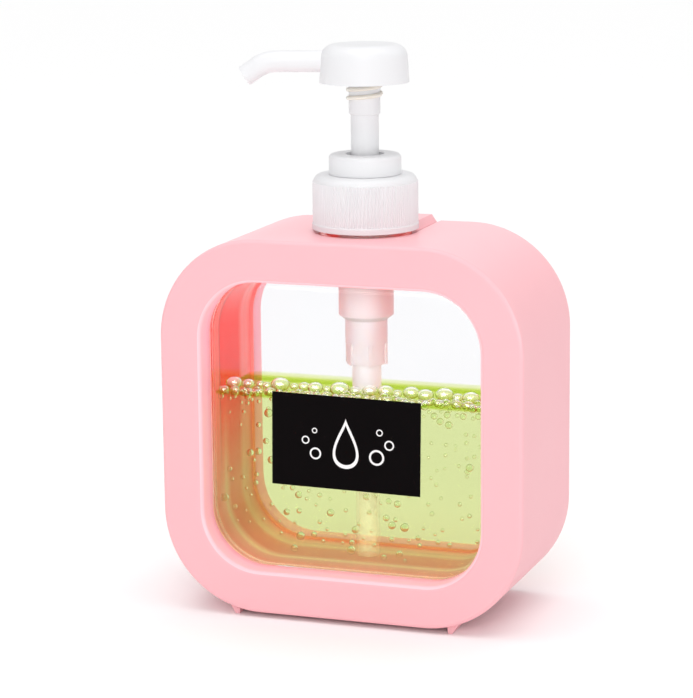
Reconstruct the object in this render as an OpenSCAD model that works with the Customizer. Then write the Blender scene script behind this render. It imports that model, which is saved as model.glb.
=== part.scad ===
// Refillable dish soap dispenser: a clear bottle in a thick rounded-square casing, with a lock-down lotion pump.
// The casing stands on the XY plane, its front looks along -Y and the pump axis is the Z axis.

/* [Casing] */
// Width of the casing
casing_w = 118; // [100:1:140]
// Height of the casing without its feet
casing_h = 119; // [100:1:140]
// Depth of the casing from front to back
casing_d = 55; // [50:1:70]
// Outer radius of the casing's four corners
corner_r = 32; // [28:0.5:38]
// Width of the front ring, from the outer edge to the window
ring_w = 13.5; // [12.5:0.5:16]
// Thickness of the outer wall
outer_wall = 2.2; // [1.6:0.1:3]
// Thickness of the front face
front_wall = 2.4; // [1.8:0.1:3]
// Depth of the window lip, from the face to the bottle
lip_depth = 8.5; // [6:0.5:11]
// How far the lip stands in front of the bottle's edge
lip_step = 2; // [1.5:0.1:3]
// Thickness of the tunnel wall around the bottle
tunnel_wall = 1.6; // [1.2:0.1:2]
// Rounding of the outer edges of the face
face_round = 1.4; // [0.8:0.1:2]
// Rounding of the window's edge
window_round = 1.7; // [1:0.1:2]

/* [Rear cover] */
// Thickness of the rear cover's plate
cover_t = 2.2; // [1.8:0.1:3]
// Play between the cover and the casing
cover_fit = 0.15; // [0.1:0.05:0.3]
// How far the cover's lip stands behind the bottle's edge
rear_step = 1.3; // [1:0.1:3]
// Thickness of the cover's skirt
skirt_t = 1.5; // [1.2:0.1:2]
// Length of the cover's skirt
skirt_len = 6; // [5:0.5:8]
// Radius of the snap bead round the skirt
snap_r = 0.6; // [0.4:0.1:0.9]

/* [Neck slot and tongue] */
// Play between the bottle's neck and its slot
slot_play = 0.4; // [0.3:0.1:0.8]
// Thickness of the wall round the slot
slot_wall = 1.6; // [1.2:0.1:2]
// Width of the bevel along the slot's upper edge
slot_bevel_w = 1.8; // [1:0.1:2.4]
// Depth of the bevel along the slot's upper edge
slot_bevel_h = 0.7; // [0.4:0.1:1]
// How far the tongue stands above the casing
tongue_rise = 1.7; // [1.2:0.1:2.2]
// How far the tongue's flanks lean in at the top
tongue_lean = 1.7; // [1:0.1:2.4]
// Wall of the hollow tongue
tongue_wall = 1.8; // [1.4:0.1:2.2]

/* [Feet] */
// Height of the feet below the casing
foot_h = 1.5; // [1.2:0.1:2.5]
// Distance of a foot's tread from the middle
foot_x = 35.3; // [33:0.1:37]
// Width of a foot's flat tread
foot_tread = 1.2; // [0.8:0.1:2]
// Length of a foot from front to back
foot_len = 8; // [6:0.5:12]
// Distance of the front feet from the casing's face
foot_inset = 2.4; // [2:0.1:6]
// Run of a foot's slanted outer side
foot_run = 2.6; // [2:0.1:3.2]

/* [Bottle] */
// Wall of the bottle
bottle_wall = 1.2; // [0.8:0.1:1.6]
// Play between the bottle and its tunnel
bottle_play = 0.25; // [0.2:0.05:0.4]
// Rounding of the bottle's front and rear edges
bottle_edge = 5; // [3.5:0.5:7]
// Diameter of the neck where it passes the slot
shank_d = 28.4; // [27:0.1:30]
// Diameter of the neck under the closure
finish_d = 25; // [24.4:0.1:25.6]
// Bore of the neck
neck_bore_d = 22; // [20:0.5:22.5]
// Depth of the shank's top below the casing
shank_drop = 0.7; // [0.3:0.1:1.5]

/* [Soap and label] */
// Height of the soap above the bottle's middle
soap_level = 8.5; // [-10:0.5:20]
// Play between the soap and what it meets
soap_play = 0.08; // [0.05:0.01:0.15]
// Width of the label
label_w = 49; // [40:1:60]
// Height of the label
label_h = 29.7; // [20:0.1:36]
// Thickness of the label
label_t = 0.15; // [0.1:0.05:0.3]
// Height of the label's middle below the bottle's middle
label_drop = 4.7; // [0:0.1:10]
// Sideways place of the label's middle
label_shift = -0.5; // [-5:0.1:5]
// Tilt of the label, clockwise from the front
label_tilt = 0.8; // [0:0.1:3]

/* [Closure] */
// Diameter of the ribbed collar over its ribs
collar_d = 33; // [32:0.1:35]
// Height of the collar
collar_h = 16.9; // [15:0.1:19]
// Gap between the collar and the casing
collar_gap = 1; // [0.8:0.1:2.5]
// Thickness of the collar's top wall
collar_top = 1.8; // [1.4:0.1:2.2]
// Bore of the collar over the neck's thread
collar_bore_d = 27.8; // [27.4:0.1:28.6]
// Number of ribs round the collar
rib_count = 120; // [60:1:140]
// Depth of a rib
rib_depth = 0.35; // [0.2:0.05:0.5]
// Rounding of the collar's shoulder
shoulder_round = 2.2; // [1.2:0.1:2.6]
// Height of the smooth band under the ribs
band_h = 2; // [1.2:0.1:4]
// How far the bead stands out at the collar's mouth
bead_out = 0.15; // [0.05:0.05:0.4]
// Thickness of the neck gasket
gasket_t = 1.2; // [0.8:0.1:1.6]

/* [Locking ring] */
// Diameter of the locking ring
ring_d = 22.6; // [21:0.1:24]
// Height of the locking ring
ring_h = 6.2; // [5:0.1:8]
// Diameter of the pocket that takes the lock thread
pocket_d = 12; // [11.6:0.1:12.6]
// Depth of the lock pocket
pocket_depth = 9; // [8:0.1:10]
// Rounding of the ring's upper edge
ring_round = 1.3; // [0.8:0.1:2]
// Length of the plug that holds the ring in the housing
plug_len = 6; // [5:0.5:8]

/* [Pump housing] */
// Outer diameter of the pump cylinder
cylinder_d = 17.3; // [16.5:0.1:18.5]
// Wall of the pump cylinder
cylinder_wall = 1.2; // [1:0.1:1.4]
// Room left in the cylinder under the pressed plunger
cylinder_room = 8.6; // [6:0.1:12]
// Diameter of the flange that seats on the neck
flange_d = 26; // [25:0.1:27]
// Thickness of the flange
flange_t = 1.4; // [1.2:0.1:1.8]
// Height of the taper under the cylinder
taper_h = 1.6; // [1:0.1:2.5]
// Outer diameter of the spring chamber
chamber_d = 13.3; // [12.8:0.1:14]
// Length of the spring chamber
chamber_len = 7.4; // [6:0.1:9]
// Outer diameter of the valve chamber
valve_d = 12.6; // [12:0.1:12.8]
// Length of the valve chamber
valve_len = 6.7; // [6:0.1:8]
// Outer diameter of the dip tube socket
socket_d = 9.2; // [9:0.1:10]
// Length of the dip tube socket
socket_len = 11; // [7:0.5:12]
// Number of ribs round the valve chamber
fin_count = 6; // [4:1:8]
// Depth of a rib on the valve chamber
fin_depth = 0.5; // [0.3:0.1:0.8]
// Width of a rib on the valve chamber
fin_w = 1.1; // [0.8:0.1:1.6]

/* [Dip tube] */
// Outer diameter of the dip tube
tube_d = 7.6; // [7:0.1:8]
// Bore of the dip tube
tube_bore = 5.8; // [5:0.1:6.2]
// Gap under the dip tube
tube_gap = 1.5; // [1:0.1:4]

/* [Valves and spring] */
// Diameter of the inlet ball
inlet_ball_d = 5.2; // [4.6:0.1:5.4]
// Hole under the inlet ball
inlet_hole_d = 3.2; // [2.6:0.1:3.4]
// Bore of the chamber that holds the inlet ball
cage_d = 6.6; // [6.2:0.1:7]
// Room above the inlet ball
cage_room = 1.1; // [0.8:0.1:1.6]
// Diameter of the outlet ball
outlet_ball_d = 4.6; // [4.2:0.1:5]
// Wire of the return spring
wire_d = 1; // [0.8:0.1:1.2]
// Mean diameter of the return spring
spring_d = 8.2; // [7.8:0.1:8.6]
// Open turns of the return spring
spring_turns = 9; // [6:1:11]

/* [Plunger] */
// Outer diameter of the stem
stem_d = 8.7; // [8.4:0.1:9]
// Bore of the stem
stem_bore = 3.6; // [3:0.1:3.8]
// Diameter of the stem's tail in the piston
tail_d = 6.4; // [6:0.1:6.8]
// Height of the piston
piston_h = 8.6; // [7:0.1:10]
// How far the lips of the piston stand out of its waist
lip_out = 1.1; // [0.8:0.1:1.6]
// Diameter of the flange under the piston
seat_d = 11.2; // [10.6:0.1:12]
// Thickness of the flange under the piston
seat_t = 1.8; // [1.4:0.1:2.4]
// Outer diameter of the lock sleeve
sleeve_d = 9.8; // [9.6:0.1:10.2]
// Height of the sleeve's lower end above the locking ring
sleeve_lift = 12.2; // [11:0.1:14]
// Chamfer of the sleeve's lower end
sleeve_chamfer = 0.4; // [0.2:0.1:0.5]
// Travel of the pump
stroke = 17.3; // [15:0.1:18]

/* [Head] */
// Diameter of the head at its rim
head_d = 27.9; // [26:0.1:30]
// Height of the head
head_h = 11.8; // [10.5:0.1:13]
// Height of the head above the locking ring
head_lift = 22.2; // [20:0.1:25]
// How far the head narrows towards the top
head_lean = 0.5; // [0.2:0.1:1]
// Rounding of the head's upper edge
head_round = 4.2; // [3:0.1:5]
// Depth of the thumb dish in the head's top
dish_depth = 0.4; // [0.2:0.1:0.8]
// Wall of the head
head_wall = 1.6; // [1.2:0.1:2]
// Outer diameter of the post inside the head
post_d = 12.6; // [12:0.1:13.4]

/* [Spout] */
// Outer diameter of the spout
spout_d = 6.7; // [6.2:0.1:7]
// Bore of the spout
spout_bore = 3.8; // [3.2:0.1:4.2]
// Height of the spout's axis above the rim
spout_z = 6.4; // [6:0.1:7]
// Distance from the pump axis to the bend
spout_reach = 27.5; // [24:0.5:30]
// Radius of the bend
bend_r = 10; // [8:0.5:14]
// Angle of the bend
bend_angle = 34; // [20:1:45]
// Straight length after the bend
nose_len = 5; // [3:0.5:7]
// Turn of the spout towards the front
spout_turn = 14; // [0:1:40]

/* [Hidden] */
$fn = 72;

// Overrun of every cut
over = 1;
// Running play between parts that turn or slide on each other
run_play = 0.06;
// Play between faces that seat on each other
seat_play = 0.1;
// Play between pressed or snapped pieces
press_play = 0.03;
// How far the spout's nose is set back from the bend's surface and into the bend
nose_step = 0.1;
nose_lap = 0.8;

// Heights of the casing
mid_z = foot_h + casing_h / 2;
top_z = foot_h + casing_h;

// Half lengths of the straight sides
half_x = casing_w / 2 - corner_r;
half_z = casing_h / 2 - corner_r;

// Radii of the ring's section, measured from the corner axes
window_r = corner_r - ring_w;
tunnel_r = window_r + lip_step;
rear_window_r = tunnel_r - rear_step;
channel_r = corner_r - outer_wall;
cover_r = channel_r - cover_fit;

// Depths of the ring's section, measured forwards from the middle
face_t = casing_d / 2;
seat_front = face_t - lip_depth;
tunnel_top = mid_z + half_z + tunnel_r;
snap_t = -face_t + cover_t + skirt_len - 2 * snap_r;

// Bottle
bottle_r = tunnel_r - bottle_play;
bottle_h = 2 * (half_z + bottle_r);
bottle_d = 2 * (seat_front - seat_play);
bottle_floor = mid_z - bottle_h / 2 + bottle_wall;
soap_z = mid_z + soap_level;
slot_r = shank_d / 2 + slot_play;
tongue_half = slot_r - cover_fit;

// Heights of the closure stack, from the casing upwards
collar_z = top_z + collar_gap;
collar_top_z = collar_z + collar_h;
flange_top = collar_top_z - collar_top - seat_play;
flange_z = flange_top - flange_t;
neck_top = flange_z - gasket_t;
ring_z = collar_top_z + seat_play;
ring_top = ring_z + ring_h;
pocket_z = ring_top - pocket_depth;
plug_z = flange_top - plug_len;

// Heights of the plunger under the locking ring
piston_top = plug_z - seat_play;
piston_z = piston_top - piston_h;
tail_z = piston_z - seat_t;

// Heights of the housing: the cylinder holds the plunger's whole travel
bore_d = cylinder_d - 2 * cylinder_wall;
cylinder_z = tail_z - stroke - cylinder_room;
chamber_top = cylinder_z - taper_h;
chamber_z = chamber_top - chamber_len;
valve_z = chamber_z - valve_len;
socket_z = valve_z - socket_len;
chamber_bore = chamber_d - 2 * cylinder_wall;
hub_d = bore_d + cylinder_wall;

// Inlet valve: the ball lies in a right-angled cone above its hole
cone_z = valve_z + seat_t;
cone_top = cone_z + (cage_d - inlet_hole_d) / 2;
apex_z = cone_z - inlet_hole_d / 2;
inlet_ball_z = apex_z + (inlet_ball_d / 2 + run_play) * sqrt(2);
ledge_z = inlet_ball_z + inlet_ball_d / 2 + cage_room;
tube_top = valve_z;
tube_z = bottle_floor + tube_gap;

// Heights of the stem, the sleeve and the head
sleeve_z = ring_top + sleeve_lift;
head_z = ring_top + head_lift;
spout_axis = head_z + spout_z;
stem_top = spout_axis - spout_bore / 2;
sleeve_top = head_z + head_wall;
outlet_seat = stem_top - outlet_ball_d;
outlet_cage_d = outlet_ball_d + (stem_d - outlet_ball_d) / 4;
outlet_ball_z = outlet_seat + sqrt(pow(outlet_ball_d, 2) - pow(stem_bore, 2)) / 2 + run_play;

// Waste outside a rounded corner whose material lies below and left of the origin
module corner_waste(r) {
    translate([-r, -r])
        difference() {
            square(r + over);
            circle(r);
        }
}

// Sweep a section round a rounded rectangle that lies flat; the section's x is the distance from the corner axes
module around_frame(sx, sy) {
    for (k = [0:3]) {
        across = k % 2 == 0 ? sx : sy;
        along = k % 2 == 0 ? sy : sx;
        rotate([0, 0, 90 * k]) {
            translate([across, along, 0])
                rotate_extrude(angle = 90)
                    children();
            translate([across, along, 0])
                rotate([90, 0, 0])
                    linear_extrude(2 * along)
                        children();
        }
    }
}

// Stand a flat frame upright, its upper face towards the front
module upright() {
    translate([0, 0, mid_z])
        rotate([90, 0, 0])
            children();
}

// Half section of a slab with rounded edges
module slab_section(r, d, edge) {
    difference() {
        translate([0, -d / 2])
            square([r, d]);
        translate([r, d / 2])
            corner_waste(edge);
        translate([r, -d / 2])
            mirror([0, 1])
                corner_waste(edge);
    }
}

// Upright slab with rounded corners and rounded front and rear edges
module rounded_slab(r, d, edge) {
    upright() {
        around_frame(half_x, half_z)
            slab_section(r, d, edge);
        linear_extrude(d, center = true)
            square([2 * half_x, 2 * half_z], center = true);
    }
}

// Plan of the neck slot: round in front, open at the back
module slot_plan(r, back) {
    circle(r);
    translate([-r, 0])
        square([2 * r, back]);
}

// Section of the casing: face, outer wall, window lip and tunnel wall
module casing_section() {
    tunnel_back = -face_t + cover_t;
    difference() {
        union() {
            translate([window_r, face_t - front_wall])
                square([ring_w, front_wall]);
            translate([channel_r, -face_t])
                square([outer_wall, casing_d]);
            translate([window_r, seat_front])
                square([lip_step, lip_depth]);
            translate([window_r, seat_front])
                square([lip_step + tunnel_wall, tunnel_wall]);
            translate([tunnel_r, tunnel_back])
                square([tunnel_wall, seat_front - tunnel_back]);
        }
        translate([corner_r, face_t])
            corner_waste(face_round);
        translate([corner_r, -face_t])
            mirror([0, 1])
                corner_waste(face_round);
        translate([window_r, face_t])
            mirror([1, 0])
                corner_waste(window_round);
        translate([cover_r, snap_t])
            circle(snap_r + cover_fit);
    }
}

// One wedge foot under a corner, drawn from the front
module foot() {
    reach = foot_x + foot_tread / 2 + foot_run - half_x;
    root_z = foot_h + corner_r - sqrt(pow(corner_r, 2) - pow(reach, 2)) + outer_wall / 4;
    inner_x = foot_x - foot_tread / 2;
    outer_x = foot_x + foot_tread / 2;
    rotate([90, 0, 0])
        linear_extrude(foot_len)
            polygon([
                [inner_x, 0],
                [outer_x, 0],
                [outer_x + foot_run, root_z],
                [inner_x - foot_tread / 2, root_z]
            ]);
}

module front_casing() {
    foot_rows = [-face_t + foot_inset + foot_len, face_t - foot_inset];
    color("#fdc4ca")
        difference() {
            union() {
                upright()
                    around_frame(half_x, half_z)
                        casing_section();
                // Wall round the slot, between the tunnel and the top
                translate([0, 0, tunnel_top])
                    linear_extrude(top_z - tunnel_top)
                        slot_plan(slot_r + slot_wall, face_t - cover_t);
                for (side = [0, 1], y = foot_rows)
                    translate([0, y, 0])
                        mirror([side, 0, 0])
                            foot();
            }
            translate([0, 0, mid_z])
                linear_extrude(casing_h)
                    slot_plan(slot_r, casing_d);
            // Bevel round the slot's upper edge
            translate([0, 0, top_z - slot_bevel_h])
                cylinder(h = slot_bevel_h, r1 = slot_r, r2 = slot_r + slot_bevel_w);
            rotate([-90, 0, 0])
                linear_extrude(casing_d)
                    polygon([
                        [-slot_r, slot_bevel_h - top_z],
                        [-slot_r - slot_bevel_w, -top_z],
                        [slot_r + slot_bevel_w, -top_z],
                        [slot_r, slot_bevel_h - top_z]
                    ]);
        }
}

// Section of the rear cover: plate, window lip, skirts and snap bead
module cover_section() {
    lip_r = tunnel_r - cover_fit;
    inner_skirt_r = tunnel_r + tunnel_wall + cover_fit;
    difference() {
        union() {
            translate([rear_window_r, -face_t])
                square([cover_r - rear_window_r, cover_t]);
            translate([rear_window_r, -face_t])
                square([lip_r - rear_window_r, lip_depth]);
            translate([cover_r - skirt_t, -face_t])
                square([skirt_t, cover_t + skirt_len]);
            translate([inner_skirt_r, -face_t])
                square([skirt_t, cover_t + skirt_len]);
            translate([cover_r, snap_t])
                circle(snap_r);
        }
        translate([rear_window_r, -face_t])
            mirror([0, 1])
                mirror([1, 0])
                    corner_waste(lip_r - rear_window_r);
    }
}

// Outline of the tongue from the front, in width and height
module tongue_outline(inset) {
    half = tongue_half - inset;
    crown = top_z + tongue_rise - inset;
    polygon([
        [-half, tunnel_top],
        [half, tunnel_top],
        [half, top_z - slot_bevel_h],
        [half - tongue_lean, crown],
        [-half + tongue_lean, crown],
        [-half, top_z - slot_bevel_h]
    ]);
}

module rear_cover() {
    collar_clear = collar_d / 2 + bead_out + slot_play;
    color("#fbbfc6")
        difference() {
            union() {
                difference() {
                    upright()
                        around_frame(half_x, half_z)
                            cover_section();
                    // Room for the wall round the slot
                    translate([0, 0, tunnel_top - over])
                        linear_extrude(casing_h)
                            slot_plan(slot_r + slot_wall + cover_fit, face_t - cover_t);
                }
                translate([0, face_t, 0])
                    rotate([90, 0, 0])
                        linear_extrude(face_t)
                            tongue_outline(0);
            }
            translate([0, 0, mid_z])
                cylinder(h = casing_h, r = slot_r);
            translate([0, 0, top_z])
                cylinder(h = casing_h, r = collar_clear);
            // Core of the tongue, open below
            difference() {
                translate([0, face_t - tongue_wall, -over])
                    rotate([90, 0, 0])
                        linear_extrude(face_t)
                            tongue_outline(tongue_wall);
                translate([0, 0, mid_z])
                    cylinder(h = casing_h, r = collar_clear + tongue_wall);
            }
        }
}

module bottle() {
    shank_top = top_z - shank_drop;
    color("#f4f7f8", 0.35)
        difference() {
            union() {
                rounded_slab(bottle_r, bottle_d, bottle_edge);
                translate([0, 0, mid_z])
                    cylinder(h = shank_top - mid_z, d = shank_d);
                translate([0, 0, mid_z])
                    cylinder(h = neck_top - mid_z, d = finish_d);
            }
            rounded_slab(bottle_r - bottle_wall, bottle_d - 2 * bottle_wall, bottle_edge - bottle_wall);
            translate([0, 0, mid_z])
                cylinder(h = casing_h, d = neck_bore_d);
        }
}

module soap() {
    inset = bottle_wall + soap_play;
    color("#dfe9a4", 0.8)
        difference() {
            intersection() {
                rounded_slab(bottle_r - inset, bottle_d - 2 * inset, bottle_edge - inset);
                translate([-casing_w / 2, -casing_d / 2, 0])
                    cube([casing_w, casing_d, soap_z]);
            }
            translate([0, 0, tube_z - soap_play])
                cylinder(h = casing_h, d = tube_d + 2 * soap_play);
            translate([0, 0, socket_z - soap_play])
                cylinder(h = casing_h, d = socket_d + 2 * soap_play);
            translate([0, 0, valve_z - soap_play])
                cylinder(h = casing_h, d = valve_d + 2 * (fin_depth + soap_play));
        }
}

module front_label() {
    color("#0d0a0c")
        translate([label_shift, -(bottle_d + label_t) / 2, mid_z - label_drop])
            rotate([0, label_tilt, 0])
                cube([label_w, label_t, label_h], center = true);
}

// Toothed outline of the collar's ribs
module rib_outline() {
    root = collar_d / 2 - rib_depth;
    tip = collar_d / 2;
    flank_shares = [0, 0.25, 0.5, 0.75];
    pitch = 360 / rib_count;
    polygon([
        for (i = [0:rib_count - 1], k = [0:3])
            let (a = pitch * (i + flank_shares[k]), r = k == 0 || k == 3 ? root : tip)
                [r * cos(a), r * sin(a)]
    ]);
}

module screw_collar() {
    core_r = collar_d / 2 - rib_depth;
    bead_r = collar_d / 2 + bead_out;
    color("#f7f6f6")
        difference() {
            union() {
                translate([0, 0, collar_z])
                    rotate_extrude()
                        difference() {
                            square([core_r, collar_h]);
                            translate([core_r, collar_h])
                                corner_waste(shoulder_round);
                        }
                translate([0, 0, collar_z])
                    rotate_extrude()
                        difference() {
                            square([bead_r, band_h]);
                            translate([bead_r, band_h])
                                corner_waste(bead_out + rib_depth);
                        }
                translate([0, 0, collar_z + band_h / 2])
                    linear_extrude(collar_h - shoulder_round - band_h / 2)
                        rib_outline();
            }
            translate([0, 0, collar_z - over])
                cylinder(h = collar_h - collar_top + over, d = collar_bore_d);
            translate([0, 0, collar_z])
                cylinder(h = collar_h + over, d = hub_d + 2 * seat_play);
        }
}

module neck_gasket() {
    color("#e9e7e2")
        translate([0, 0, neck_top])
            difference() {
                cylinder(h = gasket_t, d = finish_d);
                translate([0, 0, -over])
                    cylinder(h = gasket_t + 2 * over, d = cylinder_d + 2 * seat_play);
            }
}

module locking_ring() {
    ring_r = ring_d / 2;
    color("#f8f8f8")
        difference() {
            union() {
                translate([0, 0, ring_z])
                    rotate_extrude()
                        difference() {
                            square([ring_r, ring_h]);
                            translate([ring_r, ring_h])
                                corner_waste(ring_round);
                        }
                translate([0, 0, flange_top])
                    cylinder(h = ring_z - flange_top, d = hub_d);
                translate([0, 0, plug_z])
                    cylinder(h = flange_top - plug_z, d = bore_d - 2 * press_play);
            }
            translate([0, 0, pocket_z])
                cylinder(h = pocket_depth + over, d = pocket_d);
            translate([0, 0, plug_z - over])
                cylinder(h = plug_len + pocket_depth, d = stem_d + 2 * run_play);
        }
}

// Half section of the pump housing's outside, from the flange down
module housing_outside() {
    polygon([
        [0, socket_z],
        [socket_d / 2, socket_z],
        [socket_d / 2, valve_z],
        [valve_d / 2, valve_z],
        [valve_d / 2, chamber_z],
        [chamber_d / 2, chamber_z],
        [chamber_d / 2, chamber_top],
        [cylinder_d / 2, cylinder_z],
        [cylinder_d / 2, flange_z],
        [flange_d / 2, flange_z],
        [flange_d / 2, flange_top],
        [0, flange_top]
    ]);
}

// Half section of the space inside the pump housing
module housing_inside() {
    polygon([
        [0, socket_z - over],
        [tube_d / 2 + press_play, socket_z - over],
        [tube_d / 2 + press_play, tube_top],
        [inlet_hole_d / 2, tube_top],
        [inlet_hole_d / 2, cone_z],
        [cage_d / 2, cone_top],
        [cage_d / 2, ledge_z],
        [chamber_bore / 2, ledge_z],
        [chamber_bore / 2, chamber_top],
        [bore_d / 2, cylinder_z],
        [bore_d / 2, flange_top + over],
        [0, flange_top + over]
    ]);
}

module pump_housing() {
    color("#eef0f0", 0.8)
        difference() {
            union() {
                rotate_extrude()
                    housing_outside();
                for (i = [0:fin_count - 1])
                    rotate([0, 0, 360 * i / fin_count])
                        translate([0, -fin_w / 2, valve_z])
                            cube([valve_d / 2 + fin_depth, fin_w, valve_len]);
            }
            rotate_extrude()
                housing_inside();
        }
}

module dip_tube() {
    color("#f1f1ee", 0.8)
        translate([0, 0, tube_z])
            difference() {
                cylinder(h = tube_top - seat_play - tube_z, d = tube_d);
                translate([0, 0, -over])
                    cylinder(h = tube_top - tube_z + 2 * over, d = tube_bore);
            }
}

module inlet_ball() {
    color("#d8dcdf")
        translate([0, 0, inlet_ball_z])
            sphere(d = inlet_ball_d);
}

// Height of the spring's wire at a turn: one close turn at each end, open turns between
function coil_rise(turn, pitch) =
    turn < 1 ? turn * wire_d
    : turn < 1 + spring_turns ? wire_d + (turn - 1) * pitch
    : wire_d + spring_turns * pitch + (turn - 1 - spring_turns) * wire_d;

module return_spring() {
    sides = 8;
    steps = 16;
    turns = spring_turns + 2;
    length = tail_z - ledge_z - 2 * seat_play - wire_d;
    pitch = (length - 2 * wire_d) / spring_turns;
    rings = turns * steps;
    points = [
        for (i = [0:rings], k = [0:sides - 1])
            let (
                a = 360 * i / steps,
                b = 360 * k / sides,
                r = (spring_d + wire_d * cos(b)) / 2
            )
                [r * cos(a), r * sin(a), coil_rise(i / steps, pitch) + wire_d * sin(b) / 2]
    ];
    walls = [
        for (i = [0:rings - 1], k = [0:sides - 1])
            let (n = (k + 1) % sides)
                [i * sides + k, (i + 1) * sides + k, (i + 1) * sides + n, i * sides + n]
    ];
    first = [for (k = [0:sides - 1]) k];
    last = [for (k = [sides - 1:-1:0]) rings * sides + k];
    color("#c3c6c9")
        translate([0, 0, ledge_z + seat_play + wire_d / 2])
            polyhedron(points, concat(walls, [first, last]));
}

module piston() {
    lip_r = bore_d / 2 - run_play;
    waist_r = lip_r - lip_out;
    bore_r = tail_d / 2 + press_play;
    lip_h = piston_h / 3;
    color("#eceae4")
        rotate_extrude()
            polygon([
                [bore_r, piston_z],
                [seat_d / 2 + seat_play, piston_z],
                [lip_r - lip_out / 2, piston_z - seat_t / 2],
                [lip_r, piston_z],
                [lip_r, piston_z + lip_h / 2],
                [waist_r, piston_z + lip_h],
                [waist_r, piston_top - lip_h],
                [lip_r, piston_top - lip_h / 2],
                [lip_r, piston_top],
                [bore_r, piston_top]
            ]);
}

module piston_seat() {
    peg_len = piston_h / 2;
    color("#e4e6e6")
        difference() {
            union() {
                translate([0, 0, tail_z])
                    cylinder(h = seat_t - seat_play, d = seat_d);
                translate([0, 0, tail_z])
                    cylinder(h = seat_t + peg_len, d = stem_bore - 2 * press_play);
            }
            translate([0, 0, tail_z - over])
                cylinder(h = piston_h + seat_t, d = stem_bore / 2);
        }
}

module stem() {
    color("#fafafa")
        difference() {
            union() {
                translate([0, 0, piston_top + press_play])
                    cylinder(h = stem_top - piston_top - press_play, d = stem_d);
                translate([0, 0, piston_z])
                    cylinder(h = piston_h + stem_d, d = tail_d);
            }
            translate([0, 0, piston_z - over])
                cylinder(h = stem_top - piston_z + 2 * over, d = stem_bore);
            translate([0, 0, outlet_seat])
                cylinder(h = outlet_ball_d + over, d = outlet_cage_d);
        }
}

module outlet_ball() {
    color("#d8dcdf")
        translate([0, 0, outlet_ball_z])
            sphere(d = outlet_ball_d);
}

module lock_sleeve() {
    color("#f3efe8")
        translate([0, 0, sleeve_z])
            difference() {
                union() {
                    cylinder(h = sleeve_chamfer, d1 = sleeve_d - 2 * sleeve_chamfer, d2 = sleeve_d);
                    translate([0, 0, sleeve_chamfer])
                        cylinder(h = sleeve_top - sleeve_z - sleeve_chamfer, d = sleeve_d);
                }
                translate([0, 0, -over])
                    cylinder(h = head_h + head_lift, d = stem_d + 2 * press_play);
            }
}

// Half section of the head: leaning side, rounded edge and dished top; an inset one is the space inside
module head_section(inset) {
    rim_r = head_d / 2 - inset;
    edge_r = head_round - inset;
    edge_x = rim_r - head_lean - edge_r;
    edge_z = head_h - head_round;
    flat_top = head_h - inset;
    dish_r = (pow(edge_x, 2) + pow(dish_depth, 2)) / (2 * dish_depth);
    rim_z = inset > 0 ? -over : 0;
    difference() {
        union() {
            polygon([
                [0, rim_z],
                [rim_r, rim_z],
                [edge_x + edge_r, edge_z],
                [edge_x, edge_z],
                [edge_x, flat_top],
                [0, flat_top]
            ]);
            intersection() {
                translate([edge_x, edge_z])
                    circle(edge_r);
                translate([edge_x, edge_z])
                    square(edge_r);
            }
        }
        translate([0, flat_top - dish_depth + dish_r])
            circle(dish_r);
    }
}

// Spout along +X from the pump axis, bent downwards and ending in a slightly slimmer nose
module spout_path(d, extra) {
    rotate([0, 90, 0])
        cylinder(h = spout_reach, d = d);
    translate([spout_reach, 0, -bend_r])
        rotate([0, -90, -90])
            rotate_extrude(angle = bend_angle)
                translate([bend_r, 0])
                    circle(d = d);
    translate([spout_reach, 0, -bend_r])
        rotate([0, bend_angle, 0])
            translate([-nose_lap, 0, bend_r])
                rotate([0, 90, 0])
                    cylinder(h = nose_lap + nose_len + extra, d = d - 2 * nose_step);
}

module pump_head() {
    color("#fbfbfb")
        difference() {
            union() {
                translate([0, 0, head_z])
                    difference() {
                        rotate_extrude()
                            head_section(0);
                        rotate_extrude()
                            head_section(head_wall);
                    }
                translate([0, 0, head_z])
                    cylinder(h = head_h - head_wall, d = post_d);
                translate([0, 0, spout_axis])
                    rotate([0, 0, 180 + spout_turn])
                        spout_path(spout_d, 0);
            }
            translate([0, 0, head_z - over])
                cylinder(h = head_wall + over, d = sleeve_d + 2 * press_play);
            translate([0, 0, head_z - over])
                cylinder(h = stem_top - head_z + over, d = stem_d + 2 * press_play);
            translate([0, 0, spout_axis])
                rotate([0, 0, 180 + spout_turn])
                    spout_path(spout_bore, over);
            translate([0, 0, stem_top])
                cylinder(h = spout_bore, d = outlet_cage_d);
        }
}

front_casing();
rear_cover();
bottle();
soap();
front_label();
screw_collar();
neck_gasket();
locking_ring();
pump_housing();
dip_tube();
inlet_ball();
return_spring();
piston();
piston_seat();
stem();
outlet_ball();
lock_sleeve();
pump_head();
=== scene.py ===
"""Looks of the soap dispenser: its moulded finishes, clear bottle, soap with foam, threads and studio."""

import logging
import math
from dataclasses import dataclass
from enum import Enum
from functools import cache, cached_property
from typing import Any

import bmesh
import bpy
import numpy as np
from bpy.types import Light, Material, Mesh, Node, NodeSocket, NodeTree, Object
from mathutils import Matrix, Quaternion, Vector


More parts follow.
